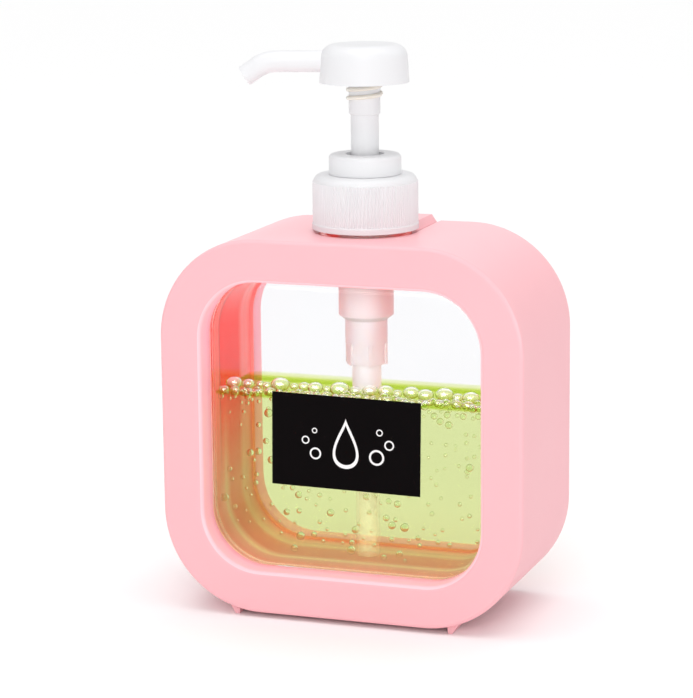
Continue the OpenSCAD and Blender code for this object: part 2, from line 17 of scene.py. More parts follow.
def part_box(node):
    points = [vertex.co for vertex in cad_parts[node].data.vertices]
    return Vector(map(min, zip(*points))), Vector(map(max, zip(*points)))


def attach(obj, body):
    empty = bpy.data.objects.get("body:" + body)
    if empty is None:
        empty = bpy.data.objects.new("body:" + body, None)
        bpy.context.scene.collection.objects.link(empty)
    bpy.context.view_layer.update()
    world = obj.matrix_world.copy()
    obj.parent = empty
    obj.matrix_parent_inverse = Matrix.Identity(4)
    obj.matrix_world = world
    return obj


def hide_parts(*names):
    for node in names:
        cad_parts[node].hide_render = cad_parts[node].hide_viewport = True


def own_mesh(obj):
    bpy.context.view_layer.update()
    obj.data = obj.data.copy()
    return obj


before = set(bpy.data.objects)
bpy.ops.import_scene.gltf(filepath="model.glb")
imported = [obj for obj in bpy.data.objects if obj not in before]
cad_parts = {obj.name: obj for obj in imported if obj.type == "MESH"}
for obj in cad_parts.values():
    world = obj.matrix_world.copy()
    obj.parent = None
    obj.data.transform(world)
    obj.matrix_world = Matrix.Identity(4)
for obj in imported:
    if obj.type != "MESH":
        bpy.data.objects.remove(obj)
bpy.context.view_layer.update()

MM = 0.001
SOAP_TOP_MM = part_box("soap")[1][2] / MM
LOG = logging.getLogger("soap_dispenser")

Point = tuple[float, float, float]
Colour = tuple[float, float, float, float]
Stops = tuple[tuple[float, str], ...]


class Body(Enum):
    """Bodies of the frame that new pieces ride on."""

    CASING = "casing"
    PUMP = "pump"
    HEAD = "head"


class Socket(Enum):
    """Kinds of input that a Geometry Nodes tree can have."""

    FLOAT = "NodeSocketFloat"
    WHOLE = "NodeSocketInt"
    MATERIAL = "NodeSocketMaterial"


def linear(hex_code: str) -> Colour:
    """Turn an sRGB hex colour into a linear colour.

    Args:
        hex_code: Six hex digits, without a leading sign.

    Returns:
        Linear red, green and blue, and an alpha of 1.
    """
    channels = [int(hex_code[i : i + 2], 16) / 255 for i in (0, 2, 4)]
    curve = [c / 12.92 if c <= 0.04045 else ((c + 0.055) / 1.055) ** 2.4 for c in channels]
    return (curve[0], curve[1], curve[2], 1.0)


def add_node(
    tree: NodeTree,
    kind: str,
    sockets: dict[str | int, Any] | None = None,
    **settings: Any,
) -> Node:
    """Add a node to a tree, with its settings, input values and links.

    Args:
        tree: The tree that gets the node.
        kind: Blender's name for the kind of node.
        sockets: Inputs by name or index: a value to set, or an output socket to link.
        **settings: Properties of the node itself.

    Returns:
        The new node.
    """
    node = tree.nodes.new(kind)
    for name, value in settings.items():
        setattr(node, name, value)
    for key, value in (sockets or {}).items():
        if isinstance(value, NodeSocket):
            tree.links.new(value, node.inputs[key])
        else:
            node.inputs[key].default_value = value
    return node


def formula(tree: NodeTree, term: Any) -> Any:
    """Add the nodes that work out a formula.

    Args:
        tree: The tree that gets the nodes.
        term: A number or an output, or a tuple of an operation's name and the terms that it works on.

    Returns:
        The number or output itself, or the output that holds the result.
    """
    if not isinstance(term, tuple):
        return term
    operation, *terms = term
    sockets = {i: formula(tree, part) for i, part in enumerate(terms)}
    return add_node(tree, "ShaderNodeMath", sockets, operation=operation).outputs[0]


def new_material(name: str) -> Material:
    """Make a material with an empty node tree.

    Args:
        name: Name of the real material.

    Returns:
        The material.
    """
    material = bpy.data.materials.new(name)
    material.use_nodes = True
    material.node_tree.nodes.clear()
    return material


@dataclass(frozen=True)
class Surface:
    """A material's tree while it is built, with the place on the piece and the slow drift over it."""

    tree: NodeTree
    place: NodeSocket
    drift: NodeSocket


@dataclass(frozen=True)
class MouldedPlastic:
    """An opaque moulded plastic: satin, with a fine mould texture and a faint drift of colour."""

    name: str
    colour: str
    drift_colour: str
    roughness: float
    ior: float
    grain_mm: float
    grain_depth_mm: float
    drift_mm: float = 35.0
    specular: float = 0.5
    glow: float = 0.0
    glow_radius: Point = (1.0, 0.9, 0.8)
    glow_mm: float = 2.0
    alpha: float = 1.0
    gloss_spread: float = 0.08

    def colour_output(self, surface: Surface) -> NodeSocket:
        """Mix the two close colours of the plastic.

        Args:
            surface: The material's tree.

        Returns:
            The output that holds the colour.
        """
        mix = add_node(surface.tree, "ShaderNodeMix", {
            0: surface.drift, 6: linear(self.colour), 7: linear(self.drift_colour),
        }, data_type="RGBA")
        return mix.outputs[2]

    def more_inputs(self, surface: Surface, colour: NodeSocket) -> dict[str, Any]:
        """Give the inputs of the shader that differ between plastics: here an even mirror reflection.

        Args:
            surface: The material's tree; not used here.
            colour: Output that holds the colour; not used here.

        Returns:
            Value or output of each input, by its name.
        """
        return {"Specular IOR Level": self.specular}

    @cached_property
    def material(self) -> Material:
        """Build the material: colour drift, mould grain as bump and uneven gloss."""
        material = new_material(self.name)
        tree = material.node_tree
        place = add_node(tree, "ShaderNodeTexCoord").outputs["Object"]
        drift = add_node(tree, "ShaderNodeTexNoise", {
            "Vector": place, "Scale": 1 / (self.drift_mm * MM), "Detail": 3.0,
        }).outputs["Fac"]
        grain = add_node(tree, "ShaderNodeTexNoise", {
            "Vector": place, "Scale": 1 / (self.grain_mm * MM), "Detail": 2.0,
        })
        bump = add_node(tree, "ShaderNodeBump", {
            "Height": grain.outputs["Fac"], "Distance": self.grain_depth_mm * MM, "Strength": 1.0,
        })
        gloss = add_node(tree, "ShaderNodeMapRange", {
            "Value": drift,
            "To Min": self.roughness * (1 - self.gloss_spread),
            "To Max": self.roughness * (1 + self.gloss_spread),
        })
        surface = Surface(tree, place, drift)
        colour = self.colour_output(surface)
        shader = add_node(tree, "ShaderNodeBsdfPrincipled", {
            "Base Color": colour,
            "Roughness": gloss.outputs[0],
            "IOR": self.ior,
            "Normal": bump.outputs[0],
            "Alpha": self.alpha,
            "Subsurface Weight": self.glow,
            "Subsurface Radius": self.glow_radius,
            "Subsurface Scale": self.glow_mm * MM,
        } | self.more_inputs(surface, colour))
        add_node(tree, "ShaderNodeOutputMaterial", {"Surface": shader.outputs[0]})
        return material


@dataclass(frozen=True)
class MilkyPaintedGlowPlastic(MouldedPlastic):
    """Unpigmented plastic with a painted glow at its thin lower end, standing in for light that runs down
    inside its walls.
    """

    # Strength, colour and heights in mm of the painted glow, which goes from none at the first height to
    # full at the second and below
    painted_glow: float = 0.17
    painted_glow_colour: str = "F4FAFF"
    painted_glow_mm: tuple[float, float] = (79.0, 78.0)

    def more_inputs(self, surface: Surface, colour: NodeSocket) -> dict[str, Any]:
        """Add the painted glow at the lower end.

        Args:
            surface: The material's tree.
            colour: Output that holds the colour.

        Returns:
            Value or output of each input, by its name.
        """
        start, end = self.painted_glow_mm
        strength = add_node(surface.tree, "ShaderNodeMapRange", {
            "Value": add_node(surface.tree, "ShaderNodeSeparateXYZ", {0: surface.place}).outputs[2],
            "From Min": start * MM,
            "From Max": end * MM,
            "To Max": self.painted_glow,
        })
        return super().more_inputs(surface, colour) | {
            "Emission Color": linear(self.painted_glow_colour), "Emission Strength": strength.outputs[0],
        }


@dataclass(frozen=True)
class TunnelPaintedLightPlastic(MouldedPlastic):
    """The casing's plastic, with painted light in its tunnel round the bottle: painted pinks and reds stand
    in for light trapped there.
    """

    tunnel_half_mm: Point = (48.6, 19.3, 48.6)
    lip_half_mm: float = 27.3
    tunnel_middle_mm: Point = (0.0, 0.0, 61.0)
    # Painted light and shade on the tunnel's wall at each depth, from the front to the rear: painted reds
    # for light trapped in the tunnel, with a thin line of painted shade
    tunnel_painted_light: Stops = (
        (-19.0, "FF8F88"), (-9.0, "FF7A72"), (-8.2, "D9544C"), (-7.2, "FF3A2E"),
        (8.0, "FF3E32"), (11.0, "FF8480"), (19.0, "FF9C9A"),
    )
    # The same painted light lower down, behind the soap, in painted streaks tinted as by light through the
    # soap
    low_painted_light: Stops = (
        (-19.0, "E29A84"), (-15.0, "E0BE98"), (-12.0, "D98E76"), (-6.0, "E2A68C"), (-4.0, "DDBE9C"),
        (0.0, "E08C78"), (8.0, "E69A86"), (11.0, "E6BCA0"), (19.0, "EAAA9C"),
    )
    # The same painted light on the tunnel's floor, lighter for the light from above through the soap
    floor_painted_light: Stops = (
        (-19.0, "F4A395"), (-15.0, "FFDCBC"), (-12.0, "EA9785"), (-6.0, "F4B09E"), (-4.0, "FFDABE"),
        (0.0, "F29587"), (8.0, "F9A396"), (11.0, "FFD6C2"), (19.0, "FEB4AF"),
    )
    # Painted light on the lips in front of and behind the tunnel, which fill with light from the window: a
    # painted highlight at the outer edge that deepens to painted shade towards the tunnel
    front_lip_painted_light: Stops = (
        (-27.3, "FDC4CB"), (-25.8, "FBC0CB"), (-22.0, "FABACB"), (-19.3, "E9A0B0"),
    )
    rear_lip_painted_light: Stops = ((19.3, "F2AAB6"), (22.0, "FABACB"), (27.3, "FDC4CB"))
    # Heights from the middle at which the floor passes into the wall, and that into its upper part
    floor_mm: tuple[float, float] = (-45.0, -38.0)
    low_mm: tuple[float, float] = (-25.0, 4.0)
    slot_radius_mm: float = 17.6
    slot_half_mm: float = 57.9
    tunnel_specular: float = 0.05
    # Strength of the painted glow in the tunnel, its lips and the slot round the neck
    painted_glow: float = 0.22

    def from_middle(self, surface: Surface) -> tuple[NodeSocket, ...]:
        """Give the place as distances from the tunnel's middle.

        Args:
            surface: The material's tree.

        Returns:
            The outputs that hold the distances sideways, in depth and in height.
        """
        middle = Vector(self.tunnel_middle_mm) * MM
        centred = add_node(surface.tree, "ShaderNodeVectorMath", {
            0: surface.place, 1: middle,
        }, operation="SUBTRACT")
        return tuple(add_node(surface.tree, "ShaderNodeSeparateXYZ", {0: centred.outputs[0]}).outputs)

    def inside(self, surface: Surface, half_depth_mm: float) -> NodeSocket:
        """Tell the inside of the tunnel from the rest of the casing.

        Args:
            surface: The material's tree.
            half_depth_mm: Half of the depth that counts as inside.

        Returns:
            An output that is 1 inside and 0 elsewhere.
        """
        x, y, z = (formula(surface.tree, ("ABSOLUTE", part)) for part in self.from_middle(surface))
        half_x, _, half_z = self.tunnel_half_mm
        across = ("MULTIPLY", ("LESS_THAN", x, half_x * MM), ("LESS_THAN", y, half_depth_mm * MM))
        tunnel = ("MULTIPLY", across, ("LESS_THAN", z, half_z * MM))
        # The slot round the neck counts as inside, so the painted light and painted glow reach under the
        # collar
        from_axis = ("SQRT", ("ADD", ("MULTIPLY", x, x), ("MULTIPLY", y, y)))
        round_slot = ("LESS_THAN", from_axis, self.slot_radius_mm * MM)
        slot = ("MULTIPLY", round_slot, ("LESS_THAN", z, self.slot_half_mm * MM))
        return formula(surface.tree, ("MAXIMUM", tunnel, slot))

    def bands(self, surface: Surface, depth: NodeSocket, colours: Stops) -> NodeSocket:
        """Lay painted light, in colours one behind the other, along the depth of the tunnel.

        Args:
            surface: The material's tree.
            depth: Output that holds the depth.
            colours: Depth in mm and painted colour of each stop between the lips, from the front to the
                rear.

        Returns:
            The output that holds the colour.
        """
        colours = self.front_lip_painted_light + colours + self.rear_lip_painted_light
        first, last = colours[0][0], colours[-1][0]
        share = add_node(surface.tree, "ShaderNodeMapRange", {
            "Value": depth, "From Min": first * MM, "From Max": last * MM,
        })
        ramp = add_node(surface.tree, "ShaderNodeValToRGB", {0: share.outputs[0]})
        stops = ramp.color_ramp.elements
        stops[0].color, stops[1].color = linear(colours[0][1]), linear(colours[-1][1])
        for spot, colour in colours[1:-1]:
            stops.new((spot - first) / (last - first)).color = linear(colour)
        return ramp.outputs[0]

    def colour_output(self, surface: Surface) -> NodeSocket:
        """Mix the plastic's colour with the painted light inside the tunnel.

        Args:
            surface: The material's tree.

        Returns:
            The output that holds the colour.
        """
        outside = super().colour_output(surface)
        _, depth, height = self.from_middle(surface)
        wall = self.bands(surface, depth, self.floor_painted_light)
        for (start, end), colours in ((self.floor_mm, self.low_painted_light), (self.low_mm, self.tunnel_painted_light)):
            raised = add_node(surface.tree, "ShaderNodeMapRange", {
                "Value": height, "From Min": start * MM, "From Max": end * MM,
            })
            wall = add_node(surface.tree, "ShaderNodeMix", {
                0: raised.outputs[0], 6: wall, 7: self.bands(surface, depth, colours),
            }, data_type="RGBA").outputs[2]
        mix = add_node(surface.tree, "ShaderNodeMix", {
            0: self.inside(surface, self.lip_half_mm), 6: outside, 7: wall,
        }, data_type="RGBA")
        return mix.outputs[2]

    def more_inputs(self, surface: Surface, colour: NodeSocket) -> dict[str, Any]:
        """Dull the tunnel's wall, which the mould leaves rougher, and give the tunnel, its lips and the slot
        a painted glow in their painted colours.

        Args:
            surface: The material's tree.
            colour: Output that holds the colour.

        Returns:
            Value or output of each input, by its name.
        """
        mirror = add_node(surface.tree, "ShaderNodeMapRange", {
            "Value": self.inside(surface, self.tunnel_half_mm[1]),
            "To Min": self.specular,
            "To Max": self.tunnel_specular,
        })
        painted_glow = formula(surface.tree, ("MULTIPLY", self.inside(surface, self.lip_half_mm), self.painted_glow))
        return {"Specular IOR Level": mirror.outputs[0], "Emission Color": colour, "Emission Strength": painted_glow}


@dataclass(frozen=True)
class ClearMatter:
    """Something clear: a plastic, a liquid, a film of soap or the air in a bubble."""

    name: str
    colour: str
    roughness: float
    ior: float
    ripple_mm: float = 0.0
    ripple_depth_mm: float = 0.0
    tint: Point | None = None
    tint_per_metre: float = 0.0
    milk: float = 0.0
    # Strength, colour and heights in mm of the painted highlight, which goes from none at the first height
    # to full at the second
    painted_highlight: float = 0.0
    painted_highlight_colour: str = "D8E0FF"
    painted_highlight_mm: tuple[float, float] = (0.0, 1.0)
    frost: float = 0.0
    frost_above_mm: float = 0.0
    most_mirrors: float = 1.5

    @cached_property
    def material(self) -> Material:
        """Build the material: clear with gloss, ripples as bump, an even tint by depth and, where set, a
        painted highlight that glows more with height.

        Shadow and diffuse rays go straight through, so that what lies behind is lit as through a thin wall.
        So do rays that have been mirrored inside a wall more than once, which would run on in it for long.
        """
        material = new_material(self.name)
        tree = material.node_tree
        place = add_node(tree, "ShaderNodeTexCoord").outputs["Object"]
        height = add_node(tree, "ShaderNodeSeparateXYZ", {0: place}).outputs[2]
        inputs: dict[str, Any] = {
            "Base Color": linear(self.colour),
            "Roughness": self.roughness,
            "IOR": self.ior,
            "Transmission Weight": 1.0 - self.milk,
        }
        # Painted highlight: a bluish white glow that grows with height, standing in for light caught by a
        # bubble's film
        if self.painted_highlight:
            start, end = self.painted_highlight_mm
            white = add_node(tree, "ShaderNodeMapRange", {
                "Value": height, "From Min": start * MM, "From Max": end * MM, "To Max": self.painted_highlight,
            })
            inputs |= {"Emission Color": linear(self.painted_highlight_colour), "Emission Strength": white.outputs[0]}
        if self.ripple_mm:
            ripple = add_node(tree, "ShaderNodeTexNoise", {
                "Vector": place, "Scale": 1 / (self.ripple_mm * MM), "Detail": 0.0,
            })
            bump = add_node(tree, "ShaderNodeBump", {
                "Height": ripple.outputs["Fac"], "Distance": self.ripple_depth_mm * MM, "Strength": 1.0,
            })
            inputs["Normal"] = bump.outputs[0]
        if self.frost:
            matt = add_node(tree, "ShaderNodeMapRange", {
                "Value": formula(tree, ("GREATER_THAN", height, self.frost_above_mm * MM)),
                "To Min": self.roughness,
                "To Max": self.frost,
            })
            inputs["Roughness"] = matt.outputs[0]
        shader = add_node(tree, "ShaderNodeBsdfPrincipled", inputs)
        through = add_node(tree, "ShaderNodeBsdfTransparent", {"Color": linear("FFFFFF")})
        ray = add_node(tree, "ShaderNodeLightPath").outputs
        soft = ("MAXIMUM", ray["Is Shadow Ray"], ray["Is Diffuse Ray"])
        trapped = ("GREATER_THAN", ray["Glossy Depth"], self.most_mirrors)
        surface = add_node(tree, "ShaderNodeMixShader", {
            0: formula(tree, ("MAXIMUM", soft, trapped)), 1: shader.outputs[0], 2: through.outputs[0],
        })
        links = {"Surface": surface.outputs[0]}
        if self.tint:
            absorb = add_node(tree, "ShaderNodeVolumeAbsorption", {
                "Color": (*self.tint, 1.0), "Density": self.tint_per_metre,
            })
            links["Volume"] = absorb.outputs[0]
        add_node(tree, "ShaderNodeOutputMaterial", links)
        return material


@dataclass(frozen=True)
class DrawnWire:
    """Drawn steel wire: bright, with fine streaks."""

    name: str = "spring_steel"
    colour: str = "C9CBCD"
    roughness: float = 0.26
    spread: float = 0.3
    streak_mm: float = 0.3

    @cached_property
    def material(self) -> Material:
        """Build the material: metal whose gloss is broken by fine streaks."""
        material = new_material(self.name)
        tree = material.node_tree
        place = add_node(tree, "ShaderNodeTexCoord").outputs["Object"]
        streak = add_node(tree, "ShaderNodeTexNoise", {
            "Vector": place, "Scale": 1 / (self.streak_mm * MM), "Detail": 4.0,
        })
        gloss = add_node(tree, "ShaderNodeMapRange", {
            "Value": streak.outputs["Fac"],
            "To Min": self.roughness * (1 - self.spread),
            "To Max": self.roughness * (1 + self.spread),
        })
        shader = add_node(tree, "ShaderNodeBsdfPrincipled", {
            "Base Color": linear(self.colour), "Metallic": 1.0, "Roughness": gloss.outputs[0],
        })
        add_node(tree, "ShaderNodeOutputMaterial", {"Surface": shader.outputs[0]})
        return material


# Moulded ABS: an even satin pink with a fine spark-eroded texture, so highlights are broad and soft; painted
# light and a painted glow fill its tunnel
PINK_ABS = TunnelPaintedLightPlastic("pink_abs", "FCC0C6", "FBBCC3", 0.42, 1.53, 0.45, 0.006, specular=0.22)
# Moulded polypropylene: a soft white, smooth enough for a blurred highlight along each edge
WHITE_PP = MouldedPlastic("white_pp", "ECECEE", "EAEAEC", 0.36, 1.49, 0.6, 0.004, specular=0.4)
# Unpigmented polypropylene: milky, light goes some way in and blurs its edges; a painted glow lights its
# thin lower end
NATURAL_PP = MilkyPaintedGlowPlastic("natural_pp", "FFFBFB", "FDF8F8", 0.4, 1.45, 0.6, 0.003, glow=0.6, alpha=0.7)
# The same plastic in the thin tube: clearer, with a pale yellow cast
TUBE_PP = MouldedPlastic("tube_pp", "FFFBEF", "FDF8EA", 0.35, 1.35, 0.6, 0.003, glow=0.4, alpha=0.14)
# The same plastic in a thick thread: a warmer cream
CREAM_PP = MouldedPlastic("cream_pp", "F6F0E4", "F3ECDE", 0.36, 1.49, 0.6, 0.003, glow=0.5)
# Soft polyethylene of the piston: dull and slightly waxy
SEAL_PE = MouldedPlastic("seal_pe", "E6E4DE", "E2E0D9", 0.5, 1.51, 0.6, 0.003)
# Closed-cell foam: matt and finely pitted
FOAM_GASKET = MouldedPlastic("gasket_foam", "E4E1DA", "DAD7CF", 0.85, 1.45, 0.4, 0.08)
# Printed film: deep black with hardly any sheen
LABEL_FILM = MouldedPlastic("label_film", "0B0809", "0E0B0C", 0.5, 1.5, 0.5, 0.003, specular=0.03)
# White ink on the film: matt and very slightly uneven
LABEL_INK = MouldedPlastic("label_ink", "F7F7F7", "F2F2F2", 0.6, 1.5, 0.5, 0.004, specular=0.2)
# Blown PETG: water-clear and glossy, with a slow ripple that bends what lies behind
CLEAR_PETG = ClearMatter("clear_petg", "FBFBFC", 0.01, 1.13, 22.0, 0.02, frost=0.4, frost_above_mm=113.0)
# Dish soap: a clear yellow-green tint that deepens with thickness
GREEN_SOAP = ClearMatter("green_soap", "FFFFFF", 0.0, 1.0, tint=(0.689, 0.806, 0.0), tint_per_metre=25.0)
# Air in the soap: bright in the middle and dark round the rim
BUBBLE_AIR = ClearMatter("bubble_air", "FFFFFF", 0.0, 0.9, tint=(0.5, 0.8, 0.1), tint_per_metre=160.0)
# A large bubble of the foam, nearly white: a painted highlight glows on its part above the soap, standing in
# for the light that its film catches
FOAM_AIR = ClearMatter(
    "foam_air", "FFFFFF", 0.0, 0.94, milk=0.05, painted_highlight=0.26, painted_highlight_mm=(SOAP_TOP_MM - 0.2, SOAP_TOP_MM + 2.2),
)
# Soap drawn up between the bubbles: a vivid green where it is seen edge on
SOAP_FILM = ClearMatter("soap_film", "FFFFFF", 0.0, 1.0, tint=(0.76, 0.866, 0.0), tint_per_metre=920.0)
# The wall of a foam bubble: clear in the middle, dark green where it is seen edge on
BUBBLE_WALL = ClearMatter("bubble_wall", "FFFFFF", 0.0, 1.5, tint=(0.72, 0.84, 0.0), tint_per_metre=1500.0)
# Drawn spring steel: bright wire with fine streaks along its gloss
SPRING_STEEL = DrawnWire()
# Glass of the valve balls: clear and bright
GLASS_BALL = ClearMatter("glass_ball", "F4F7F8", 0.02, 1.52)


def dress(finish: MouldedPlastic | ClearMatter, *nodes: str) -> None:
    """Give CAD nodes their finish.

    Args:
        finish: The finish.
        *nodes: Names of the nodes.
    """
    for node in nodes:
        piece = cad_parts[node]
        piece.data.materials.clear()
        piece.data.materials.append(finish.material)
        LOG.info("%s: %s", node, finish.name)


def settle(piece: Object, body: Body) -> None:
    """Let a new piece ride on a body and log it.

    Args:
        piece: The piece.
        body: The body that it rides on.
    """
    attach(piece, body.value)
    LOG.info("%s: %d faces, rides on %s", piece.name, len(piece.data.polygons), body.value)


def new_piece(name: str, mesh: Mesh) -> Object:
    """Put a mesh into the scene as an object at the origin.

    Args:
        name: Name of the piece.
        mesh: Its mesh, already in place.

    Returns:
        The object.
    """
    mesh.name = name
    piece = bpy.data.objects.new(name, mesh)
    bpy.context.scene.collection.objects.link(piece)
    return piece


def keep_shape(name: str, shape: bmesh.types.BMesh, material: Material) -> Object:
    """Turn a shape that was built face by face into a piece.

    Args:
        name: Name of the piece.
        shape: The shape, which is used up.
        material: The piece's material.

    Returns:
        The piece.
    """
    bmesh.ops.recalc_face_normals(shape, faces=shape.faces)
    mesh = bpy.data.meshes.new(name)
    shape.to_mesh(mesh)
    shape.free()
    mesh.materials.append(material)
    return new_piece(name, mesh)


def new_tree(name: str, inputs: dict[Socket, tuple[str, ...]]) -> tuple[NodeTree, Node]:
    """Start a Geometry Nodes tree with named inputs.

    Args:
        name: Name of the tree.
        inputs: Names of the inputs of each kind.

    Returns:
        The tree and the node that gives its inputs.
    """
    tree = bpy.data.node_groups.new(name, "GeometryNodeTree")
    tree.interface.new_socket("Geometry", in_out="INPUT", socket_type="NodeSocketGeometry")
    for kind, labels in inputs.items():
        for label in labels:
            tree.interface.new_socket(label, in_out="INPUT", socket_type=kind.value)
    tree.interface.new_socket("Geometry", in_out="OUTPUT", socket_type="NodeSocketGeometry")
    return tree, add_node(tree, "NodeGroupInput")


def close_tree(tree: NodeTree, shape: NodeSocket, material: NodeSocket) -> None:
    """End a tree: realise what it made, shade it smooth and give it its material.

    Args:
        tree: The tree.
        shape: Output that holds what was made.
        material: Output that holds the material.
    """
    real = add_node(tree, "GeometryNodeRealizeInstances", {0: shape})
    smooth = add_node(tree, "GeometryNodeSetShadeSmooth", {0: real.outputs[0]})
    dressed = add_node(tree, "GeometryNodeSetMaterial", {
        "Geometry": smooth.outputs[0], "Material": material,
    })
    add_node(tree, "NodeGroupOutput", {0: dressed.outputs[0]})


def grow(name: str, tree: NodeTree, bed: Mesh, values: dict[str, Any]) -> Object:
    """Run a Geometry Nodes tree on a bed and keep the result as a plain mesh.

    Args:
        name: Name of the new piece.
        tree: The tree.
        bed: The mesh that the tree starts from.
        values: Value of each named input.

    Returns:
        The new piece.
    """
    seed_bed = bpy.data.objects.new(name + "_bed", bed)
    bpy.context.scene.collection.objects.link(seed_bed)
    modifier = seed_bed.modifiers.new(tree.name, "NODES")
    modifier.node_group = tree
    for item in tree.interface.items_tree:
        if item.in_out == "INPUT" and item.name in values:
            modifier[item.identifier] = values[item.name]
    depsgraph = bpy.context.evaluated_depsgraph_get()
    mesh = bpy.data.meshes.new_from_object(seed_bed.evaluated_get(depsgraph))
    seed_bed.modifiers.remove(modifier)
    bpy.data.objects.remove(seed_bed)
    return new_piece(name, mesh)


def patch(corners: list[Point]) -> Mesh:
    """Make a bed of separate four-sided patches.

    Args:
        corners: Four corners for each patch, in metres.

    Returns:
        The mesh.
    """
    mesh = bpy.data.meshes.new("bed")
    faces = [tuple(range(i, i + 4)) for i in range(0, len(corners), 4)]
    mesh.from_pydata(corners, [], faces)
    return mesh


@cache
def coil_tree() -> NodeTree:
    """Build the tree of a right-handed coil: open turns between close turns, with ends that may taper."""
    tree, given = new_tree("coil", {
        Socket.FLOAT: ("Radius", "Wire", "Base", "Pitch", "Open Turns", "Close Turns", "Taper"),
        Socket.WHOLE: ("Steps", "Sides"),
        Socket.MATERIAL: ("Material",),
    })
    value = given.outputs
    wire, opened, close = value["Wire"], value["Open Turns"], value["Close Turns"]
    line = add_node(tree, "GeometryNodeCurvePrimitiveLine")
    path = add_node(tree, "GeometryNodeResampleCurve", {"Curve": line.outputs[0], "Count": value["Steps"]})
    along = add_node(tree, "GeometryNodeSplineParameter").outputs["Factor"]
    turn = formula(tree, ("MULTIPLY", along, ("MULTIPLY_ADD", close, 2.0, opened)))
    first = ("MULTIPLY", ("MINIMUM", turn, close), wire)
    middle = ("MINIMUM", ("MAXIMUM", ("SUBTRACT", turn, close), 0.0), opened)
    past = ("SUBTRACT", turn, ("ADD", close, opened))
    last = ("MULTIPLY", ("MAXIMUM", past, 0.0), wire)
    rise = ("ADD", ("ADD", first, last), ("MULTIPLY_ADD", middle, value["Pitch"], value["Base"]))
    angle = formula(tree, ("MULTIPLY", turn, math.tau))
    spot = add_node(tree, "ShaderNodeCombineXYZ", {
        0: formula(tree, ("MULTIPLY", ("COSINE", angle), value["Radius"])),
        1: formula(tree, ("MULTIPLY", ("SINE", angle), value["Radius"])),
        2: formula(tree, rise),
    })
    placed = add_node(tree, "GeometryNodeSetPosition", {
        "Geometry": path.outputs[0], "Position": spot.outputs[0],
    })
    from_end = ("MINIMUM", along, ("SUBTRACT", 1.0, along))
    width = formula(tree, ("MINIMUM", ("DIVIDE", from_end, ("MAXIMUM", value["Taper"], 1e-6)), 1.0))
    sized = add_node(tree, "GeometryNodeSetCurveRadius", {"Curve": placed.outputs[0], "Radius": width})
    ring = add_node(tree, "GeometryNodeCurvePrimitiveCircle", {
        "Resolution": value["Sides"], "Radius": formula(tree, ("DIVIDE", wire, 2.0)),
    })
    tube = add_node(tree, "GeometryNodeCurveToMesh", {
        "Curve": sized.outputs[0], "Profile Curve": ring.outputs[0], "Fill Caps": True,
    })
    scale = tube.inputs.get("Scale")
    if scale is not None:
        tree.links.new(width, scale)
    close_tree(tree, tube.outputs[0], value["Material"])
    return tree


def scatter_tree() -> NodeTree:
    """Build the tree that scatters bubbles of mixed size over a bed, each lying behind the bed's face."""
    tree, given = new_tree("bubble_scatter", {
        Socket.FLOAT: ("Spacing", "Density", "Smallest", "Largest", "Sink"),
        Socket.WHOLE: ("Subdivisions", "Seed"),
        Socket.MATERIAL: ("Material",),
    })
    value = given.outputs
    points = add_node(tree, "GeometryNodeDistributePointsOnFaces", {
        "Mesh": value["Geometry"],
        "Distance Min": value["Spacing"],
        "Density Max": value["Density"],
        "Seed": value["Seed"],
    }, distribute_method="POISSON")
    pick = add_node(tree, "FunctionNodeRandomValue", {8: value["Seed"]}).outputs[1]
    radius = add_node(tree, "ShaderNodeMapRange", {
        "Value": formula(tree, ("POWER", pick, 2.0)),
        "To Min": value["Smallest"],
        "To Max": value["Largest"],
    }).outputs[0]
    inward = add_node(tree, "ShaderNodeVectorMath", {
        0: points.outputs["Normal"], "Scale": formula(tree, ("MULTIPLY", radius, value["Sink"])),
    }, operation="SCALE")
    sunk = add_node(tree, "GeometryNodeSetPosition", {
        "Geometry": points.outputs["Points"], "Offset": inward.outputs[0],
    })
    ball = add_node(tree, "GeometryNodeMeshIcoSphere", {
        "Radius": 1.0, "Subdivisions": value["Subdivisions"],
    })
    balls = add_node(tree, "GeometryNodeInstanceOnPoints", {
        "Points": sunk.outputs[0], "Instance": ball.outputs[0], "Scale": radius,
    })
    close_tree(tree, balls.outputs[0], value["Material"])
    return tree


